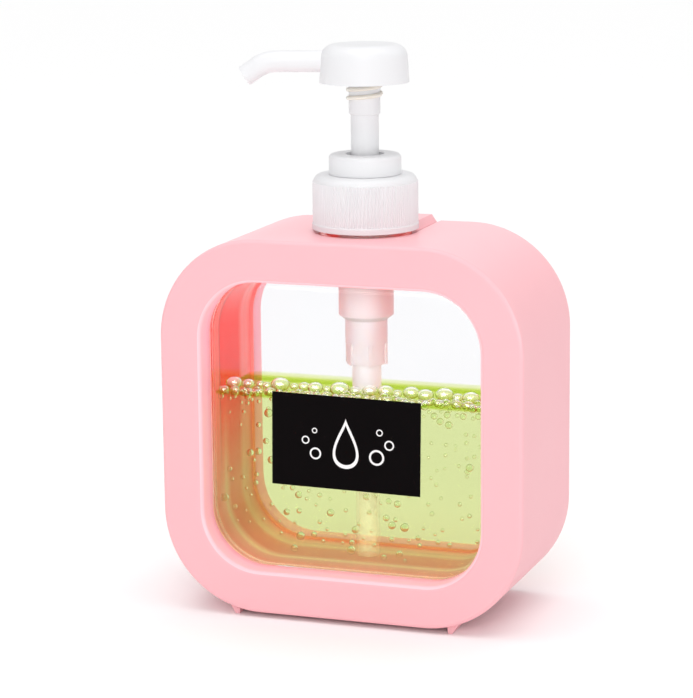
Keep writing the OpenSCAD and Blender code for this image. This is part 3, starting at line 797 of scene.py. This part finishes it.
def chain_tree() -> NodeTree:
    """Build the tree that lays a row of touching bubbles of mixed size from the left to the right."""
    tree, given = new_tree("bubble_chain", {
        Socket.FLOAT: (
            "Length", "Start", "Back", "Wander", "Height", "Smallest", "Largest", "Size Share", "Sink Share",
            "Hollow", "Lift", "Flatness",
        ),
        Socket.WHOLE: ("Count", "Subdivisions", "Seed"),
        Socket.MATERIAL: ("Material",),
    })
    value = given.outputs
    points = add_node(tree, "GeometryNodePoints", {"Count": value["Count"]})
    width = add_node(tree, "FunctionNodeRandomValue", {
        2: value["Smallest"], 3: value["Largest"], 8: value["Seed"],
    }).outputs[1]
    tally = add_node(tree, "GeometryNodeAccumulateField", {"Value": width})
    stretch = formula(tree, ("DIVIDE", value["Length"], tally.outputs["Total"]))
    middle = ("ADD", tally.outputs["Trailing"], ("DIVIDE", width, 2.0))
    radius = formula(tree, ("MULTIPLY", ("MULTIPLY", width, stretch), 0.5))
    shift = add_node(tree, "FunctionNodeRandomValue", {
        2: -1.0, 3: 1.0, 8: formula(tree, ("ADD", value["Seed"], 1.0)),
    }).outputs[1]
    spot = add_node(tree, "ShaderNodeCombineXYZ", {
        0: formula(tree, ("MULTIPLY_ADD", middle, stretch, value["Start"])),
        1: formula(tree, ("MULTIPLY_ADD", shift, value["Wander"], value["Back"])),
        2: formula(tree, ("MULTIPLY_ADD", radius, value["Sink Share"], value["Height"])),
    })
    row = add_node(tree, "GeometryNodeSetPosition", {
        "Geometry": points.outputs[0], "Position": spot.outputs[0],
    })
    outer, inner = (
        add_node(tree, "GeometryNodeMeshIcoSphere", {"Radius": size, "Subdivisions": value["Subdivisions"]})
        for size in (1.0, value["Hollow"])
    )
    lift = add_node(tree, "ShaderNodeCombineXYZ", {2: value["Lift"]})
    raised = add_node(tree, "GeometryNodeTransform", {
        "Geometry": inner.outputs[0], "Translation": lift.outputs[0],
    })
    turned = add_node(tree, "GeometryNodeFlipFaces", {"Mesh": raised.outputs[0]})
    shell = add_node(tree, "GeometryNodeJoinGeometry", {0: outer.outputs[0]})
    tree.links.new(turned.outputs[0], shell.inputs[0])
    hollow = add_node(tree, "FunctionNodeCompare", {0: value["Hollow"], 1: 0.0}, operation="GREATER_THAN")
    ball = add_node(tree, "GeometryNodeSwitch", {
        "Switch": hollow.outputs[0], "False": outer.outputs[0], "True": shell.outputs[0],
    }, input_type="GEOMETRY")
    size = formula(tree, ("MULTIPLY", radius, value["Size Share"]))
    sizes = add_node(tree, "ShaderNodeCombineXYZ", {
        0: size, 1: size, 2: formula(tree, ("MULTIPLY", size, value["Flatness"])),
    })
    balls = add_node(tree, "GeometryNodeInstanceOnPoints", {
        "Points": row.outputs[0], "Instance": ball.outputs[0], "Scale": sizes.outputs[0],
    })
    close_tree(tree, balls.outputs[0], value["Material"])
    return tree


@dataclass(frozen=True)
class Coil:
    """A thread or a wound wire, with its sizes in metres."""

    radius: float
    wire: float
    base: float
    pitch: float
    turns: float
    close_turns: float = 0.0
    taper: float = 0.0
    steps: int = 120
    sides: int = 12

    def wind(self, name: str, material: Material) -> Object:
        """Wind the coil.

        Args:
            name: Name of the piece.
            material: The coil's material.

        Returns:
            The piece.
        """
        return grow(name, coil_tree(), bpy.data.meshes.new("bed"), {
            "Radius": self.radius,
            "Wire": self.wire,
            "Base": self.base,
            "Pitch": self.pitch,
            "Open Turns": self.turns,
            "Close Turns": self.close_turns,
            "Taper": self.taper,
            "Steps": self.steps,
            "Sides": self.sides,
            "Material": material,
        })


@dataclass
class Casing:
    """The pink casing and its rear cover."""

    nodes: tuple[str, ...] = ("front_casing", "rear_cover")

    def build(self) -> None:
        """Dress both mouldings."""
        dress(PINK_ABS, *self.nodes)


@dataclass
class Bottle:
    """The clear bottle with the thread on its neck."""

    thread_radius_mm: float = 12.75
    thread_wire_mm: float = 1.7
    thread_base_mm: float = 123.6
    thread_pitch_mm: float = 4.2
    thread_turns: float = 1.8
    thread_taper: float = 0.06

    def build(self) -> None:
        """Dress the bottle and wind its thread."""
        dress(CLEAR_PETG, "bottle")
        thread = Coil(
            self.thread_radius_mm * MM, self.thread_wire_mm * MM, self.thread_base_mm * MM,
            self.thread_pitch_mm * MM, self.thread_turns, taper=self.thread_taper,
        )
        settle(thread.wind("neck_thread", CLEAR_PETG.material), Body.CASING)


@dataclass
class Label:
    """The black label with a drop and bubbles in white ink."""

    tilt_deg: float = 0.8
    ink_mm: float = 0.03
    drop_half_width_mm: float = 6.2
    drop_half_height_mm: float = 8.0
    drop_point: float = 1.6
    drop_belly: float = -0.25
    stroke_share: float = 0.8
    ring_stroke_mm: float = 0.15
    drop_steps: int = 72
    ring_steps: int = 40
    # Place and radius of each ringed bubble, in mm from the label's middle
    bubbles_mm: tuple[Point, ...] = (
        (10.2, -3.6, 2.5), (14.3, 0.6, 1.6), (11.1, 4.4, 1.1),
        (-10.0, -3.9, 1.9), (-13.3, 0.2, 1.3), (-10.3, 3.4, 0.9),
    )

    def drop(self, share: float) -> list[tuple[float, float]]:
        """Give the outline of the drop.

        Args:
            share: Size of the outline, as a share of the whole drop.

        Returns:
            Points in mm from the label's middle.
        """
        points = []
        low = self.drop_belly * self.drop_half_height_mm
        for i in range(self.drop_steps):
            t = math.tau * i / self.drop_steps
            x = self.drop_half_width_mm * math.sin(t) * math.sin(t / 2) ** self.drop_point
            z = self.drop_half_height_mm * math.cos(t)
            points.append((share * x, low + share * (z - low)))
        return points

    def ring(self, x: float, z: float, radius: float) -> list[tuple[float, float]]:
        """Give a round outline.

        Args:
            x: Sideways place of its middle, in mm.
            z: Height of its middle, in mm.
            radius: Its radius, in mm.

        Returns:
            Points in mm from the label's middle.
        """
        angles = [math.tau * i / self.ring_steps for i in range(self.ring_steps)]
        return [(x + radius * math.sin(a), z + radius * math.cos(a)) for a in angles]

    def motif(self, ink: Material) -> Object:
        """Build the motif as raised ink.

        Args:
            ink: The ink's material.

        Returns:
            The piece.
        """
        strokes = [(self.drop(1.0), self.drop(self.stroke_share))]
        for x, z, radius in self.bubbles_mm:
            inner = radius * self.stroke_share - self.ring_stroke_mm
            strokes.append((self.ring(x, z, radius), self.ring(x, z, inner)))
        low, high = (Vector(corner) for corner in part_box("front_label"))
        middle = (low + high) / 2
        turn = Matrix.Rotation(math.radians(self.tilt_deg), 4, "Y")
        shape = bmesh.new()
        for outer, inner in strokes:
            rows = []
            for outline in (outer, inner):
                for depth in (0.0, self.ink_mm):
                    spot = Vector((middle.x, low.y - depth * MM, middle.z))
                    rows.append([
                        shape.verts.new(turn @ Vector((x * MM, 0, z * MM)) + spot) for x, z in outline
                    ])
            outer_back, outer_front, inner_back, inner_front = rows
            count = len(outer)
            for i in range(count):
                j = (i + 1) % count
                for a, b in (
                    (outer_front, inner_front), (inner_back, outer_back),
                    (outer_back, outer_front), (inner_front, inner_back),
                ):
                    shape.faces.new((a[i], a[j], b[j], b[i]))
        bmesh.ops.remove_doubles(shape, verts=shape.verts, dist=1e-7)
        return keep_shape("label_motif", shape, ink)

    def build(self) -> None:
        """Dress the label and print its motif."""
        dress(LABEL_FILM, "front_label")
        settle(self.motif(LABEL_INK.material), Body.CASING)


@dataclass(frozen=True)
class BubbleRow:
    """A row of touching bubbles along the front of the soap."""

    name: str
    count: int
    back_mm: float
    wander_mm: float
    smallest_mm: float
    largest_mm: float
    rise_share: float
    seed: int


@dataclass(frozen=True)
class BubbleBed:
    """How small bubbles lie scattered on a bed."""

    spacing_mm: float
    per_square_metre: float
    smallest_mm: float
    largest_mm: float
    sink: float
    subdivisions: int
    seed: int

    def values(self) -> dict[str, Any]:
        """Give the inputs of the tree that scatters bubbles."""
        return {
            "Spacing": self.spacing_mm * MM,
            "Density": self.per_square_metre,
            "Smallest": self.smallest_mm * MM,
            "Largest": self.largest_mm * MM,
            "Sink": self.sink,
            "Subdivisions": self.subdivisions,
            "Seed": self.seed,
        }


@dataclass
class Soap:
    """The soap with the foam on it and the bubbles in it."""

    edge_mm: float = 3.7
    wall_gap_mm: float = 0.15
    # Thickness of the skin of drawn soap, in mm, by the share of the way from the rear to the front
    skin_mm: tuple[tuple[float, float], ...] = (
        (0.0, 0.08), (0.12, 0.13), (0.18, 0.5), (0.28, 0.65),
        (0.36, 0.28), (0.75, 0.22), (0.88, 0.25), (1.0, 0.8),
    )
    skin_lift_mm: float = 0.02
    skin_columns: int = 48
    skin_rows: int = 40
    rows: tuple[BubbleRow, ...] = (
        BubbleRow("foam", 21, -4.5, 1.2, 2.8, 7.2, 0.3, 7),
        BubbleRow("low_foam", 34, -11.5, 1.0, 1.6, 4.0, -0.1, 21),
    )
    row_back_mm: float = -8.0
    flatness: float = 0.74
    hollow: float = 0.92
    lift: float = 0.065
    core_share: float = 0.99
    row_subdivisions: int = 4
    # Where the small bubbles keep away from the soap's ends, floor, corners and foam, and from the label
    end_gap_mm: float = 3.0
    floor_gap_mm: float = 5.0
    corner_gap_mm: float = 6.0
    foam_gap_mm: float = 4.0
    label_gap_mm: float = 1.0
    edge_reach_mm: float = 1.5
    edge_depth_mm: float = 3.2
    front_bed: BubbleBed = BubbleBed(2.4, 66000.0, 0.5, 1.4, 1.05, 3, 3)
    rear_bed: BubbleBed = BubbleBed(6.0, 9000.0, 0.5, 1.2, 1.05, 3, 5)
    edge_bed: BubbleBed = BubbleBed(1.5, 420000.0, 0.5, 1.3, 1.05, 2, 11)
    top_bed: BubbleBed = BubbleBed(1.7, 250000.0, 0.45, 1.5, 0.2, 2, 13)

    def skin(self, film: Material) -> Object:
        """Build the skin of foaming soap: a thin layer at the surface, thicker where soap is drawn up.

        Args:
            film: The material of drawn soap.

        Returns:
            The piece.
        """
        _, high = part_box("soap")
        half_x = high[0] - self.wall_gap_mm * MM
        half_y = high[1] - self.wall_gap_mm * MM
        edge = self.edge_mm * MM
        shape = bmesh.new()
        upper, lower = [], []
        for r in range(self.skin_rows + 1):
            share = r / self.skin_rows
            y = half_y - 2 * half_y * share
            past = max(0.0, abs(y) - (half_y - edge))
            width = half_x - edge + math.sqrt(max(edge**2 - past**2, 0.0))
            thick = np.interp(share, *zip(*self.skin_mm)) * MM
            for rows, z in ((upper, high[2] + self.skin_lift_mm * MM), (lower, high[2] - thick)):
                rows.append([
                    shape.verts.new((width * (2 * c / self.skin_columns - 1), y, z))
                    for c in range(self.skin_columns + 1)
                ])
        for rows in (upper, lower):
            for a, b in zip(rows, rows[1:]):
                for c in range(self.skin_columns):
                    shape.faces.new((a[c], a[c + 1], b[c + 1], b[c]))
        rims = [(upper[0], lower[0]), (upper[-1], lower[-1])]
        for side in (0, -1):
            rims.append(([row[side] for row in upper], [row[side] for row in lower]))
        for top, bottom in rims:
            for i in range(len(top) - 1):
                shape.faces.new((top[i], top[i + 1], bottom[i + 1], bottom[i]))
        return keep_shape("foam_skin", shape, film)

    def float_row(self, row: BubbleRow, chain: NodeTree) -> None:
        """Float one row of bubbles: walls that are thicker below, with air in them.

        Args:
            row: Sizes and place of the row.
            chain: The tree that lays rows of bubbles.
        """
        low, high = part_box("soap")
        length = high[0] - low[0] - 2 * self.wall_gap_mm * MM
        values = {
            "Count": row.count,
            "Length": length,
            "Start": -length / 2,
            "Back": row.back_mm * MM,
            "Wander": row.wander_mm * MM,
            "Height": high[2],
            "Smallest": row.smallest_mm * MM,
            "Largest": row.largest_mm * MM,
            "Flatness": self.flatness,
            "Lift": self.lift,
            "Subdivisions": self.row_subdivisions,
            "Seed": row.seed,
        }
        bed = bpy.data.meshes.new("bed")
        walls = grow(f"{row.name}_walls", chain, bed, values | {
            "Size Share": 1.0, "Hollow": self.hollow, "Sink Share": row.rise_share,
            "Material": BUBBLE_WALL.material,
        })
        settle(walls, Body.CASING)
        cores = grow(f"{row.name}_cores", chain, bed, values | {
            "Size Share": self.hollow * self.core_share,
            "Hollow": 0.0,
            "Sink Share": row.rise_share + self.lift * self.flatness,
            "Material": FOAM_AIR.material,
        })
        settle(cores, Body.CASING)

    def beds(self) -> dict[str, tuple[Mesh, BubbleBed]]:
        """Give each bed of small bubbles and how they lie on it."""
        low, high = (Vector(corner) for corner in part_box("soap"))
        label_low, label_high = (Vector(corner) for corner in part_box("front_label"))
        top = high.z
        front, rear = low.y + self.wall_gap_mm * MM, high.y - self.wall_gap_mm * MM
        left, right = low.x + self.end_gap_mm * MM, high.x - self.end_gap_mm * MM
        floor = low.z + self.floor_gap_mm * MM
        corner, foam = floor + self.corner_gap_mm * MM, top - self.foam_gap_mm * MM
        gap = self.label_gap_mm * MM
        reach, depth = self.edge_reach_mm * MM, self.edge_depth_mm * MM
        back = self.row_back_mm * MM

        def upright(x0: float, x1: float, z0: float, z1: float, y: float) -> list[Point]:
            """Give the corners of an upright patch whose face looks backwards."""
            return [(x0, y, z0), (x0, y, z1), (x1, y, z1), (x1, y, z0)]

        hidden_left, hidden_right = label_low.x - gap, label_high.x + gap
        sides = (
            upright(left, hidden_left, corner, foam, front)
            + upright(hidden_left, hidden_right, floor, label_low.z + gap, front)
            + upright(hidden_right, right, corner, foam, front)
        )
        edge = upright(left - reach, right + reach, top - depth, top, front)
        surface = [(left, front, top), (right, front, top), (right, back, top), (left, back, top)]
        return {
            "front_bubbles": (patch(sides), self.front_bed),
            "rear_bubbles": (patch(upright(left, right, floor, foam, rear)[::-1]), self.rear_bed),
            "foam_edge": (patch(edge), self.edge_bed),
            "foam_top": (patch(surface), self.top_bed),
        }

    def build(self) -> None:
        """Dress the soap and make its foam and bubbles."""
        dress(GREEN_SOAP, "soap")
        settle(self.skin(SOAP_FILM.material), Body.CASING)
        chain, scatter = chain_tree(), scatter_tree()
        for row in self.rows:
            self.float_row(row, chain)
        for name, (mesh, bed) in self.beds().items():
            bubbles = grow(name, scatter, mesh, bed.values() | {"Material": BUBBLE_AIR.material})
            settle(bubbles, Body.CASING)


@dataclass
class Closure:
    """The ribbed collar, its gasket and the locking ring."""

    white_nodes: tuple[str, ...] = ("screw_collar", "locking_ring")

    def build(self) -> None:
        """Dress the closure."""
        dress(WHITE_PP, *self.white_nodes)
        dress(FOAM_GASKET, "neck_gasket")


@dataclass
class PumpHousing:
    """The pump's housing with its tube, inlet ball and return spring."""

    wire_mm: float = 1.0
    spring_turns: float = 9.0
    end_turns: float = 1.0
    steps_per_turn: int = 40

    def spring(self) -> None:
        """Wind the return spring in place of its plain solid."""
        low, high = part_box("return_spring")
        wire = self.wire_mm * MM
        length = high[2] - low[2] - wire
        spring = Coil(
            radius=(high[0] - low[0] - wire) / 2,
            wire=wire,
            base=low[2] + wire / 2,
            pitch=(length - 2 * self.end_turns * wire) / self.spring_turns,
            turns=self.spring_turns,
            close_turns=self.end_turns,
            steps=int((self.spring_turns + 2 * self.end_turns) * self.steps_per_turn),
        )
        piece = spring.wind("wound_spring", SPRING_STEEL.material)
        settle(piece, Body.PUMP)
        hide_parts("return_spring")
        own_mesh(piece)

    def build(self) -> None:
        """Dress the housing and wind its spring."""
        dress(NATURAL_PP, "pump_housing")
        dress(TUBE_PP, "dip_tube")
        dress(GLASS_BALL, "inlet_ball")
        self.spring()


@dataclass
class Plunger:
    """The piston with the stem, the lock sleeve and the head."""

    white_nodes: tuple[str, ...] = ("stem", "pump_head", "lock_sleeve")
    thread_wire_mm: float = 1.4
    thread_out_mm: float = 0.15
    thread_pitch_mm: float = 2.6
    thread_turns: float = 2.0
    thread_drop_mm: float = 7.25
    thread_taper: float = 0.05
    thread_start_deg: float = 90.0

    def lock_thread(self) -> Object:
        """Wind the lock thread under the head."""
        _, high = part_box("lock_sleeve")
        thread = Coil(
            high[0] + self.thread_out_mm * MM, self.thread_wire_mm * MM, high[2] - self.thread_drop_mm * MM,
            self.thread_pitch_mm * MM, self.thread_turns, taper=self.thread_taper,
        ).wind("lock_thread", CREAM_PP.material)
        thread.data.transform(Matrix.Rotation(math.radians(self.thread_start_deg), 4, "Z"))
        return thread

    def build(self) -> None:
        """Dress the plunger and wind its lock thread."""
        dress(WHITE_PP, *self.white_nodes)
        dress(SEAL_PE, "piston")
        dress(NATURAL_PP, "piston_seat")
        dress(GLASS_BALL, "outlet_ball")
        settle(self.lock_thread(), Body.HEAD)


@dataclass(frozen=True)
class Softbox:
    """A square soft light that looks at the object."""

    name: str
    azimuth_deg: float
    elevation_deg: float
    distance_m: float
    size_m: float
    energy: float
    lit_nodes: tuple[str, ...] = ()
    gloss_only: bool = False


@dataclass
class Studio:
    """White floor, soft light and the camera at the photograph's angle."""

    azimuth_deg: float = 19.949
    elevation_deg: float = 11.436
    roll_deg: float = -0.602
    distance_m: float = 0.85241
    aim_m: Point = (-0.0068, 0.0, 0.08231)
    lens_mm: float = 139.12
    floor_half_m: float = 12.0
    sky_front: float = 0.32
    sky_rear: float = 0.74
    sky_rear_direction: Point = (0.0, 1.0, 0.0)
    sun_strength: float = 1.5
    sun_spread_deg: float = 60.0
    sun_azimuth_deg: float = 15.0
    sun_elevation_deg: float = 82.0
    target_m: Point = (0.0, 0.0, 0.09)
    floor_colour: str = "FDFDFD"
    most_bounces: int = 32
    most_clear_layers: int = 48
    softboxes: tuple[Softbox, ...] = (
        Softbox("front_softbox", 16.0, 24.0, 1.6, 0.7, 7.8),
        Softbox("housing_fill", 20.0, 14.0, 1.0, 0.5, 2.4, ("pump_housing",)),
        Softbox("tube_fill", 20.0, 14.0, 1.0, 0.5, 7.0, ("dip_tube",)),
        Softbox("foam_glint", 20.0, 38.0, 1.0, 2.2, 160.0, ("bottle",)),
        Softbox("side_edge_glint", 75.0, 10.0, 1.2, 0.7, 18.0, ("front_casing", "rear_cover"), True),
        Softbox("top_edge_glint", -60.0, 67.0, 1.2, 0.7, 4.0, ("front_casing", "rear_cover"), True),
        Softbox("top_sheen", 195.0, 14.0, 1.6, 1.2, 3.2, ("front_casing", "rear_cover"), True),
    )

    def direction(self, azimuth_deg: float, elevation_deg: float) -> Vector:
        """Give the direction from the object to a place round it.

        Args:
            azimuth_deg: Turn from the front towards the right.
            elevation_deg: Height above the horizon.

        Returns:
            A vector of length 1.
        """
        turn, tilt = math.radians(azimuth_deg), math.radians(elevation_deg)
        return Vector((math.sin(turn) * math.cos(tilt), -math.cos(turn) * math.cos(tilt), math.sin(tilt)))

    def camera(self) -> None:
        """Set the camera up."""
        data = bpy.data.cameras.new("camera")
        data.lens = self.lens_mm
        data.clip_end = 4 * self.floor_half_m
        camera = bpy.data.objects.new("camera", data)
        bpy.context.scene.collection.objects.link(camera)
        back = self.direction(self.azimuth_deg, self.elevation_deg)
        camera.location = Vector(self.aim_m) + back * self.distance_m
        camera.rotation_mode = "QUATERNION"
        roll = Quaternion((0, 0, 1), math.radians(self.roll_deg))
        camera.rotation_quaternion = (-back).to_track_quat("-Z", "Y") @ roll
        bpy.context.scene.camera = camera

    def floor(self) -> None:
        """Lay the pale floor."""
        r = self.floor_half_m
        mesh = patch([(-r, -r, 0), (r, -r, 0), (r, r, 0), (-r, r, 0)])
        floor = new_piece("floor", mesh)
        material = new_material("matt_white_paper")
        tree = material.node_tree
        shader = add_node(tree, "ShaderNodeBsdfDiffuse", {"Color": linear(self.floor_colour)})
        add_node(tree, "ShaderNodeOutputMaterial", {"Surface": shader.outputs[0]})
        mesh.materials.append(material)

    def lamp(
        self, data: Light, spot: Vector, lit_nodes: tuple[str, ...] = (), gloss_only: bool = False
    ) -> None:
        """Hang a light so that it looks at the object.

        Args:
            data: The light.
            spot: Its place.
            lit_nodes: The only nodes that it lights, or none for everything.
            gloss_only: Whether it shows only as a highlight.
        """
        lamp = bpy.data.objects.new(data.name, data)
        lamp.location = spot
        lamp.visible_camera = False
        lamp.visible_diffuse = not gloss_only
        lamp.rotation_mode = "QUATERNION"
        lamp.rotation_quaternion = (Vector(self.target_m) - spot).to_track_quat("-Z", "Y")
        bpy.context.scene.collection.objects.link(lamp)
        if lit_nodes:
            lit = bpy.data.collections.new(f"{data.name}_lit")
            for node in lit_nodes:
                lit.objects.link(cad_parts[node])
            lamp.light_linking.receiver_collection = lit

    def light(self) -> None:
        """Hang a broad overhead light and softboxes under a white sky that is brighter behind."""
        world = bpy.data.worlds.new("sky")
        world.use_nodes = True
        tree = world.node_tree
        tree.nodes.clear()
        toward = add_node(tree, "ShaderNodeTexCoord").outputs["Generated"]
        rear = add_node(tree, "ShaderNodeVectorMath", {
            0: toward, 1: self.sky_rear_direction,
        }, operation="DOT_PRODUCT")
        strength = add_node(tree, "ShaderNodeMapRange", {
            "Value": rear.outputs["Value"],
            "From Min": -1.0,
            "To Min": self.sky_front,
            "To Max": self.sky_rear,
        })
        glow = add_node(tree, "ShaderNodeBackground", {
            "Color": linear("FFFFFF"), "Strength": strength.outputs[0],
        })
        add_node(tree, "ShaderNodeOutputWorld", {"Surface": glow.outputs[0]})
        bpy.context.scene.world = world
        sun = bpy.data.lights.new("overhead", "SUN")
        sun.energy = self.sun_strength
        sun.angle = math.radians(self.sun_spread_deg)
        target = Vector(self.target_m)
        self.lamp(sun, target + self.direction(self.sun_azimuth_deg, self.sun_elevation_deg))
        for box in self.softboxes:
            data = bpy.data.lights.new(box.name, "AREA")
            data.size = box.size_m
            data.energy = box.energy
            away = self.direction(box.azimuth_deg, box.elevation_deg) * box.distance_m
            self.lamp(data, target + away, box.lit_nodes, box.gloss_only)

    def build(self) -> None:
        """Build the studio."""
        self.camera()
        self.floor()
        self.light()
        scene = bpy.context.scene
        scene.view_settings.view_transform = "Standard"
        scene.cycles.max_bounces = self.most_bounces
        scene.cycles.transmission_bounces = self.most_bounces
        scene.cycles.transparent_max_bounces = self.most_clear_layers


def main() -> None:
    """Build every sub-assembly in order and report its pieces."""
    logging.basicConfig(level=logging.INFO, format="%(name)s %(message)s")
    for part in (Casing(), Bottle(), Label(), Soap(), Closure(), PumpHousing(), Plunger(), Studio()):
        part.build()


if __name__ == "__main__":
    main()
